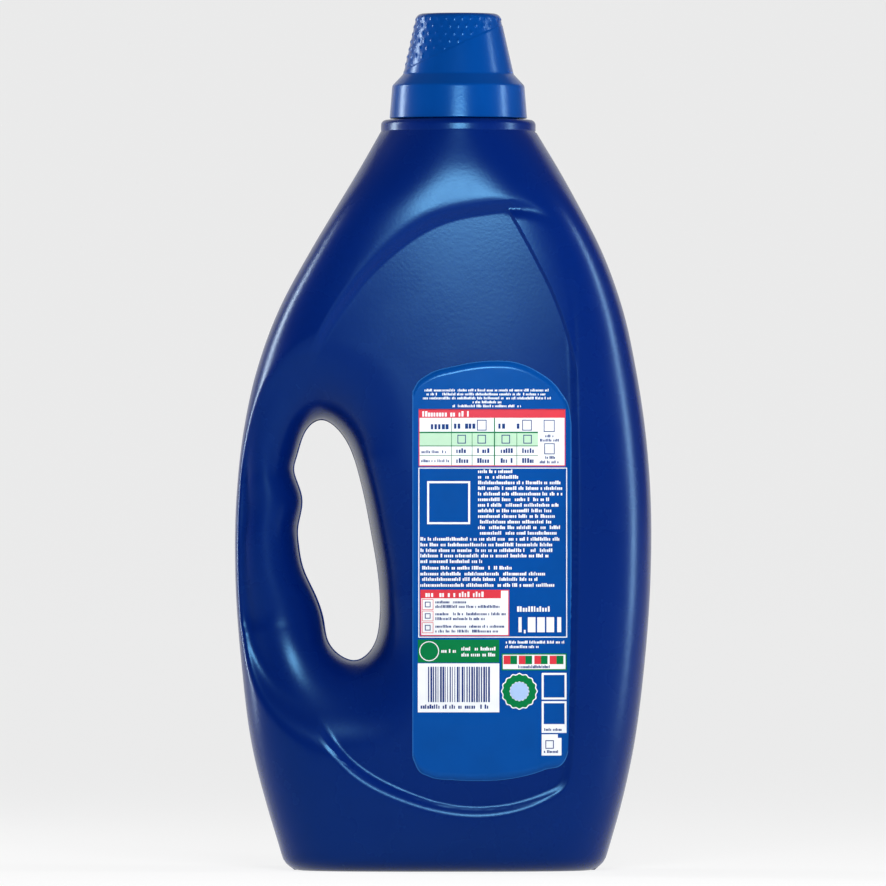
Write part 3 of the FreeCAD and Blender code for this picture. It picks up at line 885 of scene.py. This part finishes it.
@dataclass
class Cap:
    """The screw cap and dosing cup, in millimetres."""

    low: float = 267.2
    axis: float = 5.45
    skirt_radius: float = 24.45
    skirt_height: float = 11.7
    shoulder_radius: float = 23.5
    step_height: float = 4.0
    cup_radius: float = 19.7
    cup_height: float = 21.6
    top_radius: float = 14.8
    wall: float = 1.5
    seal_radius: float = 17.7
    seal_wall: float = 1.1
    seal_foot: float = 269.7
    drops_around: int = 32
    drop_rows: int = 8
    drop_pitch: float = 2.66
    drop_first: float = 283.9
    drop_proud: float = 0.28
    drop_half_width: float = 0.46
    drop_half_height: float = 0.62
    field_level: float = 293.1
    field_slope: float = 0.46
    field_step: float = 0.16
    columns: int = 448

    def relief(self, angle: Array, radius: Array, level: Array) -> Array:
        """Relief of the cup: small raised drops in offset rows above a slanting line.

        A drop is a bell, e to the minus distance squared, about the nearest point of a grid
        that has every second row moved by half a pitch; the field above the line lies a
        little lower than the plain foot of the cup.
        """
        step = self.low + self.skirt_height + self.step_height
        top = step + self.cup_height
        outer = radius > self.cup_radius - (self.cup_radius - self.top_radius) * (
            np.clip(level - step, 0, None) / self.cup_height) - 0.3
        on_cup = smooth_step((level - step - 0.9) / 0.8) * smooth_step((top - 1.2 - level) / 0.8) * outer
        line = self.field_level + self.field_slope * radius * np.sin(angle)
        above = smooth_step((level - line) / 0.35 + 0.5)
        row = np.clip(np.round((level - self.drop_first) / self.drop_pitch), 0, self.drop_rows - 1)
        pitch = 2 * math.pi / self.drops_around
        offset = 0.5 * pitch * (row % 2)
        across = (angle - offset + pitch / 2) % pitch - pitch / 2
        up = level - self.drop_first - row * self.drop_pitch
        drop = np.exp(-(across * radius / self.drop_half_width) ** 2 - (up / self.drop_half_height) ** 2)
        clear = smooth_step((self.drop_first + row * self.drop_pitch - line - 0.7) / 0.4)
        return on_cup * above * (self.drop_proud * drop * clear - self.field_step)

    def build(self) -> tuple[bpy.types.Object, bpy.types.Object]:
        """Turns the cap's section in two pieces: skirt, step and cup outside, and the sealing ring inside."""
        shoulder = self.low + self.skirt_height
        step = shoulder + self.step_height
        top = step + self.cup_height
        outside = rounded_outline([
            (self.skirt_radius - self.wall, self.low, 0.3), (self.skirt_radius, self.low, 0.4),
            (self.shoulder_radius, shoulder, 1.5), (self.cup_radius, step, 1.5),
            (self.top_radius, top, 2.6), (0.02, top, 0.0)], 0.3, False)
        inside = rounded_outline([
            (0.02, top - self.wall, 0.0), (self.top_radius - self.wall, top - self.wall, 1.5),
            (self.seal_radius - self.seal_wall, step - self.wall, 2.0),
            (self.seal_radius - self.seal_wall, self.seal_foot, 0.3), (self.seal_radius, self.seal_foot, 0.3),
            (self.seal_radius, step - self.wall, 0.6),
            (self.shoulder_radius - self.wall, shoulder - 0.6 * self.wall, 1.0),
            (self.skirt_radius - self.wall, self.low, 0.0)], 1.2, False)
        outer = revolved("cap_outside", outside, self.axis, self.columns, self.relief)
        inner = revolved("cap_inside", inside, self.axis, 128)
        return outer, inner


@dataclass
class Label:
    """The film label and its print, in millimetres from the label's own lower left corner.

    Everything lies on the label panel, a cylinder with an upright axis; each layer of print is
    a little prouder than the one under it.
    """

    left: float = -10.8
    bottom: float = 32.3
    width: float = 56.2
    height: float = 148.6
    film: float = 0.15
    face: float = 28.4
    axis: float = 5.45
    bend: float = 400.0
    layer: float = 0.02
    rim: float = 0.28
    line: float = 0.32
    longest: float = 4.0
    top_edge: Array = field(default_factory=lambda: np.array([
        (0.00, 0.927), (0.03, 0.948), (0.09, 0.966), (0.27, 0.988), (0.52, 1.000),
        (0.64, 0.997), (0.78, 0.976), (0.93, 0.928), (0.985, 0.890), (1.0, 0.850)]))
    bottom_edge: Array = field(default_factory=lambda: np.array([
        (0.0, 0.056), (0.035, 0.026), (0.10, 0.011), (0.26, 0.002), (0.40, 0.000),
        (0.60, 0.004), (0.83, 0.026), (0.965, 0.052), (1.0, 0.095)]))
    beside_ends: tuple[float, ...] = (35.5, 37.9, 52.5, 52.9, 53.3, 48.7, 52.1, 50.0, 50.8, 49.6, 52.5, 51.5)
    full_ends: tuple[float, ...] = (52.8, 49.4, 50.5, 48.7, 25.2, 35.1, 46.9, 45.4, 50.5)
    rng: np.random.Generator = field(default_factory=lambda: np.random.default_rng(7))

    def place(self, across: Array, up: Array, proud: float) -> Array:
        """Bends flat places round the panel: depth is the circle's height at that X."""
        x = self.left + across
        radius = self.bend + self.film + proud
        depth = self.face - self.bend + np.sqrt(radius ** 2 - (x - self.axis) ** 2)
        return np.stack([x, -depth, self.bottom + up], axis=-1)

    def edge(self, share: Array, line: Array) -> Array:
        """Height of the top or bottom edge at a share of the width, smooth along the edge's own run."""
        run = np.concatenate([[0.0], np.cumsum(np.linalg.norm(np.diff(line, axis=0), axis=1))])
        dense = spline_through(run, line, np.linspace(0.0, run[-1], 400))
        return np.interp(share, dense[:, 0], dense[:, 1]) * self.height

    def film_sheet(self, name: str, inset: float, proud: float) -> bpy.types.Object:
        """Spans the label's outline, with its edge turned down to the panel.

        Args:
            name: Name of the piece.
            inset: How far the outline is moved in.
            proud: Height above the film.

        Returns:
            The piece.
        """
        share = (1.0 - np.cos(np.linspace(0.0, math.pi, 90))) / 2
        low = self.edge(share, self.bottom_edge) + inset
        high = self.edge(share, self.top_edge) - inset
        across = inset + share * (self.width - 2 * inset)
        part = np.linspace(0.0, 1.0, 60)[:, None]
        up = low + (high - low) * part
        grid = self.place(np.repeat(across[None], len(part), axis=0), up, proud)
        ring = np.concatenate([grid[0], grid[1:, -1], grid[-1, -2::-1], grid[-2:0:-1, 0]])
        depth = self.face - self.bend + np.sqrt(self.bend ** 2 - (ring[:, 0] - self.axis) ** 2)
        foot = np.stack([ring[:, 0], -depth, ring[:, 2]], axis=1)
        points = np.concatenate([grid.reshape(-1, 3), ring, foot])
        skirt = grid_faces(2, len(ring), True) + grid.shape[0] * grid.shape[1]
        return mesh_piece(name, points, np.concatenate([grid_faces(len(part), len(share), False), skirt]))

    def fields(self, name: str, boxes: Array, proud: float) -> bpy.types.Object:
        """Prints upright rectangles, cut into columns so that they follow the panel's bend.

        Args:
            name: Name of the piece.
            boxes: Left, low, right and high of each rectangle, shape (n, 4).
            proud: Height above the film.

        Returns:
            The piece.
        """
        parts = np.ceil((boxes[:, 2] - boxes[:, 0]) / self.longest).astype(int)
        owner = np.repeat(np.arange(len(boxes)), parts)
        step = np.arange(len(owner)) - np.repeat(np.cumsum(parts) - parts, parts)
        wide = (boxes[owner, 2] - boxes[owner, 0]) / parts[owner]
        first = boxes[owner, 0] + step * wide
        across = np.stack([first, first + wide, first + wide, first], axis=1)
        up = boxes[owner][:, [1, 1, 3, 3]]
        points = self.place(across, up, proud).reshape(-1, 3)
        return mesh_piece(name, points, np.arange(len(points)).reshape(-1, 4), smooth=False)

    def disc(self, name: str, middle: tuple[float, float], radii: tuple[float, float],
             lobes: float, proud: float) -> bpy.types.Object:
        """Prints a disc or ring; its rim swings in and out as the cosine of 16 times the angle."""
        angle = np.linspace(0.0, 2 * math.pi, 160, endpoint=False)[None, :]
        radius = np.linspace(radii[0], radii[1], 6)[:, None]
        radius = radius * (1.0 + lobes * np.cos(16 * angle))
        points = self.place(middle[0] + radius * np.cos(angle), middle[1] + radius * np.sin(angle), proud)
        return mesh_piece(name, points.reshape(-1, 3), grid_faces(6, 160, True))

    def border(self, box: tuple[float, float, float, float], thick: float) -> Array:
        """The four bars of a frame inside a rectangle."""
        left, low, right, high = box
        return np.array([(left, low, right, low + thick), (left, high - thick, right, high),
                         (left, low + thick, left + thick, high - thick),
                         (right - thick, low + thick, right, high - thick)])

    def words(self, lines: list[tuple[float, float, float]], size: float) -> Array:
        """Fills lines with small upright bars of uneven height that stand for print.

        Args:
            lines: Middle height, left and right end of each line.
            size: Height of a tall bar.

        Returns:
            Rectangles, shape (n, 4).
        """
        pitch, stroke, low_share, gap_share = 0.52 * size, 0.34 * size, 0.72, 0.16
        boxes = []
        for level, start, end in lines:
            left = np.arange(start, end - stroke, pitch)
            left = left[self.rng.random(len(left)) > gap_share]
            tall = np.where(self.rng.random(len(left)) < 0.3, size, low_share * size)
            foot = np.full(len(left), level - size / 2)
            boxes.append(np.stack([left, foot, left + stroke * self.rng.uniform(0.8, 1.3, len(left)),
                                   foot + tall], axis=1))
        return np.concatenate(boxes)

    def stripes(self, box: tuple[float, float, float, float], pitch: float) -> Array:
        """Upright stripes of uneven width inside a rectangle."""
        left, low, right, high = box
        first = np.arange(left, right - pitch, pitch)
        wide = pitch * self.rng.choice([0.3, 0.5, 0.75], len(first))
        return np.stack([first, np.full(len(first), low), first + wide, np.full(len(first), high)], axis=1)

    def white_fields(self) -> Array:
        """White grounds and frames."""
        grounds = np.array([(2.2, 111.3, 54.1, 131.5), (2.8, 51.3, 34.2, 67.6), (31.5, 39.1, 54.6, 45.1),
                            (1.9, 24.3, 30.7, 41.6), (45.7, 9.0, 52.7, 15.2), (45.7, 15.2, 51.4, 16.5),
                            (45.7, 17.0, 54.5, 19.4)])
        frames = [self.border((2.1, 50.7, 54.7, 110.8), self.line),
                  self.border((45.7, 28.8, 54.5, 38.2), 0.7), self.border((45.7, 19.4, 54.5, 28.2), 0.7),
                  self.border((5.2, 90.8, 20.4, 106.0), 0.7)]
        return np.concatenate([grounds, *frames])

    def red_fields(self) -> Array:
        """Red headers and frames."""
        headers = np.array([(2.2, 128.4, 54.1, 131.5), (2.8, 64.6, 31.3, 67.6), (32.2, 41.3, 34.6, 44.3),
                            (37.6, 41.3, 39.9, 44.3), (43.1, 41.3, 45.4, 44.3), (48.5, 41.3, 50.9, 44.3)])
        frames = [self.border((2.2, 111.3, 54.1, 131.5), self.line),
                  self.border((2.8, 51.3, 34.2, 67.6), self.line), self.border((3.4, 60.5, 7.4, 64.3), 0.2),
                  self.border((3.4, 56.5, 7.4, 60.2), 0.2), self.border((3.4, 52.3, 7.4, 56.1), 0.2)]
        return np.concatenate([headers, *frames])

    def green_fields(self) -> Array:
        """Green grounds, the lines of the table and the strip's frame."""
        grounds = np.array([(1.9, 41.9, 30.7, 50.0), (34.6, 41.3, 37.0, 44.3), (39.9, 41.3, 42.3, 44.3),
                            (45.4, 41.3, 47.8, 44.3), (50.9, 41.3, 53.4, 44.3)])
        rows = np.array([(2.5, 123.0, 44.4, 123.5), (2.5, 118.3, 44.4, 118.6), (2.5, 115.0, 44.4, 115.2)])
        columns = np.array([(13.7, 111.6, 13.9, 128.4), (21.0, 111.6, 21.2, 123.2),
                            (28.8, 111.6, 29.2, 128.4), (36.8, 111.6, 37.0, 123.2)])
        return np.concatenate([grounds, rows, columns, self.border((31.5, 39.1, 54.6, 45.1), 0.45)])

    def white_words(self) -> Array:
        """Small white print on the blue, red and green grounds."""
        intro = self.words([(138.2, 4.3, 48.5), (136.8, 5.0, 47.8), (135.4, 3.7, 49.2), (134.0, 20.8, 31.9),
                            (132.6, 14.2, 38.5)], 0.9)
        beside = [(109.5 - 1.98 * row, 23.2, end) for row, end in enumerate(self.beside_ends)]
        levels = (85.6, 83.6, 81.6, 79.7, 77.7, 75.4, 73.3, 71.4, 69.3)
        full = [(level, 2.8, end) for level, end in zip(levels, self.full_ends)]
        body = self.words(beside + full, 1.25)
        heads = self.words([(129.8, 3.5, 20.4), (66.0, 4.6, 25.5), (60.8, 37.0, 48.6)], 1.9)
        green = self.words([(46.8, 17.3, 29.8), (44.7, 17.3, 29.8), (46.0, 10.2, 16.6)], 1.3)
        right = self.words([(49.1, 32.0, 54.3), (47.5, 32.8, 44.6)], 1.0)
        amount = np.array([(37.5, 52.6, 38.6, 57.9), (39.4, 52.2, 40.0, 53.4), (40.8, 52.6, 43.5, 57.9),
                           (44.1, 52.6, 46.8, 57.9), (47.4, 52.6, 50.1, 57.9), (51.2, 52.6, 52.6, 57.9)])
        return np.concatenate([intro, body, heads, green, right, amount])

    def blue_words(self) -> Array:
        """Small blue print and the stripes on the white grounds."""
        cells = [(level, left, left + 4.4) for level in (116.8, 113.3) for left in (15.5, 22.9, 31.2, 38.8)]
        table = self.words(cells, 1.7)
        names = self.words([(116.4, 3.2, 12.1), (113.2, 3.1, 12.9), (122.0, 46.9, 50.2), (120.5, 45.1, 51.9),
                            (114.4, 46.4, 50.8), (112.8, 45.0, 52.1), (63.3, 8.1, 19.0), (61.7, 8.1, 31.0),
                            (59.1, 8.1, 33.0), (57.4, 8.1, 25.7), (54.7, 8.1, 32.8), (53.0, 8.1, 31.3),
                            (40.4, 36.3, 49.3), (10.4, 46.5, 51.6), (18.2, 46.6, 53.4)], 1.0)
        heads = self.words([(125.6, 6.5, 12.7), (125.8, 14.7, 22.1), (125.8, 30.4, 37.9)], 2.5)
        marks = [self.border(box, 0.3) for box in (
            (22.8, 123.9, 26.2, 127.7), (38.8, 123.9, 42.2, 127.7), (46.4, 123.4, 50.3, 127.7),
            (46.6, 115.5, 50.3, 119.4), (15.9, 119.3, 18.9, 122.4), (23.0, 119.3, 26.0, 122.4),
            (31.5, 119.3, 34.5, 122.4), (39.2, 119.3, 42.2, 122.4), (4.4, 61.4, 6.4, 63.4),
            (4.4, 57.4, 6.4, 59.3), (4.4, 53.2, 6.4, 55.2), (47.0, 11.4, 50.0, 14.4))]
        bars = self.stripes((5.5, 27.9, 28.0, 40.4), 0.85)
        numbers = self.words([(26.3, 2.9, 27.4)], 1.5)
        return np.concatenate([table, names, heads, *marks, bars, numbers])

    def build(self) -> None:
        """Lays the film and prints it, ink by ink."""
        # The rim film shows as a band a little wider than the ground film and is a lighter blue: a painted
        # highlight along the label's edge, where its thickness catches the light.
        painted_edge_highlight = Film("label_edge_painted_highlight", (0.022, 0.13, 0.42)).material()
        blue = Film("label_blue", (0.0008, 0.056, 0.278)).material()
        sheets = [(self.film_sheet("label_rim", 0.0, -self.layer), painted_edge_highlight),
                  (self.film_sheet("label_ground", self.rim, 0.0), blue)]
        for sheet, film in sheets:
            dress(sheet, film, BOTTLE_BODY, ("back_label",))
        inks = {ink: Film(f"ink_{ink.name.lower()}", ink.value, 0.3).material() for ink in Ink}
        printed = [
            ("white_grounds", self.white_fields(), 1, Ink.WHITE),
            ("pale_row", np.array([(2.5, 118.5, 44.4, 123.0)]), 2, Ink.PALE_GREEN),
            ("red_fields", self.red_fields(), 3, Ink.RED),
            ("green_fields", self.green_fields(), 3, Ink.GREEN),
            ("white_words", self.white_words(), 4, Ink.WHITE),
            ("blue_words", self.blue_words(), 4, Ink.NAVY),
        ]
        for name, boxes, layer, ink in printed:
            dress(self.fields(name, boxes, layer * self.layer), inks[ink], BOTTLE_BODY,
                  ("back_label",))
        discs = [
            ("seal_ground", (37.8, 31.7), (0.0, 6.3), 0.035, 1, Ink.WHITE),
            ("seal_ring", (37.8, 31.7), (3.4, 5.9), 0.035, 2, Ink.GREEN),
            ("seal_middle", (37.8, 31.7), (0.0, 3.3), 0.0, 3, Ink.PALE_BLUE),
            ("green_ring", (5.9, 45.9), (3.2, 3.5), 0.0, 4, Ink.WHITE),
        ]
        for name, middle, radii, lobes, layer, ink in discs:
            dress(self.disc(name, middle, radii, lobes, layer * self.layer), inks[ink], BOTTLE_BODY,
                  ("back_label",))


@dataclass(frozen=True)
class Lamp:
    """A soft rectangular lamp: where it stands, the point it faces, its size in metres and its power."""

    name: str
    place: tuple[float, float, float]
    aim: tuple[float, float, float]
    size: tuple[float, float]
    watts: float

    def hang(self) -> None:
        """Adds the lamp to the scene, turned to its aim."""
        data = bpy.data.lights.new(self.name, "AREA")
        data.shape = "RECTANGLE"
        data.size, data.size_y = self.size
        data.energy = self.watts
        lamp = bpy.data.objects.new(self.name, data)
        lamp.location = self.place
        way = np.array(self.aim) - np.array(self.place)
        flat = math.hypot(way[0], way[1])
        lamp.rotation_euler = (math.atan2(flat, -way[2]), 0.0, math.atan2(way[1], way[0]) - math.pi / 2)
        bpy.context.scene.collection.objects.link(lamp)
        LOG.info("%s: %.1f W", self.name, self.watts)


@dataclass
class Studio:
    """Floor, backdrop, lamps, world and camera, in metres."""

    target_level: float = 0.1518
    camera_distance: float = 4.6
    frame_width: float = 0.3138
    front_depth: float = 0.02
    white: float = 1.0
    ambient: float = 0.14
    glow: float = 0.8
    lamps: tuple[Lamp, ...] = (
        Lamp("key", (0.02, -0.48, 0.30), (0.02, 0.0, 0.19), (0.16, 0.08), 2.3),
        Lamp("left_strip", (-0.78, 0.3, 0.2), (-0.05, 0.0, 0.13), (0.12, 0.8), 8.0),
        Lamp("right_strip", (0.85, -0.1, 0.2), (0.05, 0.0, 0.13), (0.1, 0.8), 6.5))

    def camera(self) -> None:
        """Sets a long lens level with the middle of the bottle."""
        data = bpy.data.cameras.new("camera")
        data.sensor_width = 36.0
        data.lens = data.sensor_width * (self.camera_distance - self.front_depth) / self.frame_width
        camera = bpy.data.objects.new("camera", data)
        camera.location = (0.0, -self.camera_distance, self.target_level)
        camera.rotation_euler = (math.pi / 2, 0.0, 0.0)
        bpy.context.scene.collection.objects.link(camera)
        bpy.context.scene.camera = camera

    def world(self) -> None:
        """Lights the room evenly, a little cool."""
        world = bpy.data.worlds.new("room")
        world.use_nodes = True
        light = next(node for node in world.node_tree.nodes if node.type == "BACKGROUND")
        light.inputs["Color"].default_value = (0.94, 0.97, 1.0, 1.0)
        light.inputs["Strength"].default_value = self.ambient
        bpy.context.scene.world = world

    def sweep(self) -> None:
        """Lays a pale floor that bends up into a backdrop: flat, a quarter turn, then upright."""
        turn = np.linspace(0.0, math.pi / 2, 24)
        front, start, bend, top, half_width = -7000.0, 6000.0, 1500.0, 6000.0, 6000.0
        along = np.concatenate([[front], start + bend * np.sin(turn), [start + bend]])
        level = np.concatenate([[0.0], bend * (1.0 - np.cos(turn)), [top]])
        rows = [np.stack([np.full_like(along, side), along, level], axis=1)
                for side in (-half_width, half_width)]
        sweep = mesh_piece("sweep", np.concatenate(rows), grid_faces(2, len(along), False))
        graph = Graph("sweep_white")
        graph.shader.inputs["Base Color"].default_value = (0.9, 0.9, 0.9, 1.0)
        graph.shader.inputs["Roughness"].default_value = 0.7
        rays = graph.tree.nodes.new("ShaderNodeLightPath")
        seen = Sock(graph, rays.outputs["Is Camera Ray"])
        for kind in ("Is Glossy Ray", "Is Transmission Ray"):
            seen = graph.node("ShaderNodeMath", {"operation": "MAXIMUM"},
                              {0: seen, 1: Sock(graph, rays.outputs[kind])})
        glow = graph.tree.nodes.new("ShaderNodeEmission")
        glow.inputs["Color"].default_value = (1.0, 1.0, 1.0, 1.0)
        glow.inputs["Strength"].default_value = self.white
        mix = graph.tree.nodes.new("ShaderNodeMixShader")
        graph.feed(mix.inputs[0], self.glow * seen)
        graph.tree.links.new(graph.shader.outputs[0], mix.inputs[1])
        graph.tree.links.new(glow.outputs[0], mix.inputs[2])
        out = next(node for node in graph.tree.nodes if node.type == "OUTPUT_MATERIAL")
        graph.tree.links.new(mix.outputs[0], out.inputs["Surface"])
        sweep.data.materials.append(graph.material)

    def build(self) -> None:
        """Sets up the whole studio."""
        bpy.context.scene.view_settings.view_transform = "Standard"
        self.camera()
        self.world()
        self.sweep()
        for lamp in self.lamps:
            lamp.hang()


def main() -> None:
    """Builds the bottle, its closure, its label and the studio."""
    logging.basicConfig(level=logging.INFO, format="%(name)s: %(message)s")
    navy = Plastic("bottle_plastic", (0.0003, 0.011, 0.122), (0.0003, 0.010, 0.114), 0.27,
                   sheen=(0.22, 0.62, 1.0)).material()
    blue = Plastic("cap_plastic", (0.0003, 0.048, 0.25), (0.0003, 0.044, 0.238), 0.25,
                   sheen=(0.22, 0.62, 1.0)).material()
    milk = Plastic("spout_plastic", (0.74, 0.76, 0.79), (0.70, 0.72, 0.76), 0.4).material()
    gel = Plastic("detergent_gel", (0.02, 0.16, 0.45), (0.02, 0.14, 0.42), 0.15).material()
    body = BlownBody()
    dress(body.build(), navy, BOTTLE_BODY, ("bottle",))
    dress(body.liquid(), gel, BOTTLE_BODY, ("detergent",))
    neck = Neck()
    dress(neck.build(), navy, BOTTLE_BODY, ("bottle",))
    dress(neck.thread(), navy, BOTTLE_BODY, ("bottle",))
    outer, inner = Cap().build()
    dress(outer, blue, CAP_BODY, ("cap",))
    dress(inner, blue, CAP_BODY, ("cap",))
    Label().build()
    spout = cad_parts["pour_spout"]
    spout.data.materials.clear()
    spout.data.materials.append(milk)
    Studio().build()


if __name__ == "__main__":
    main()
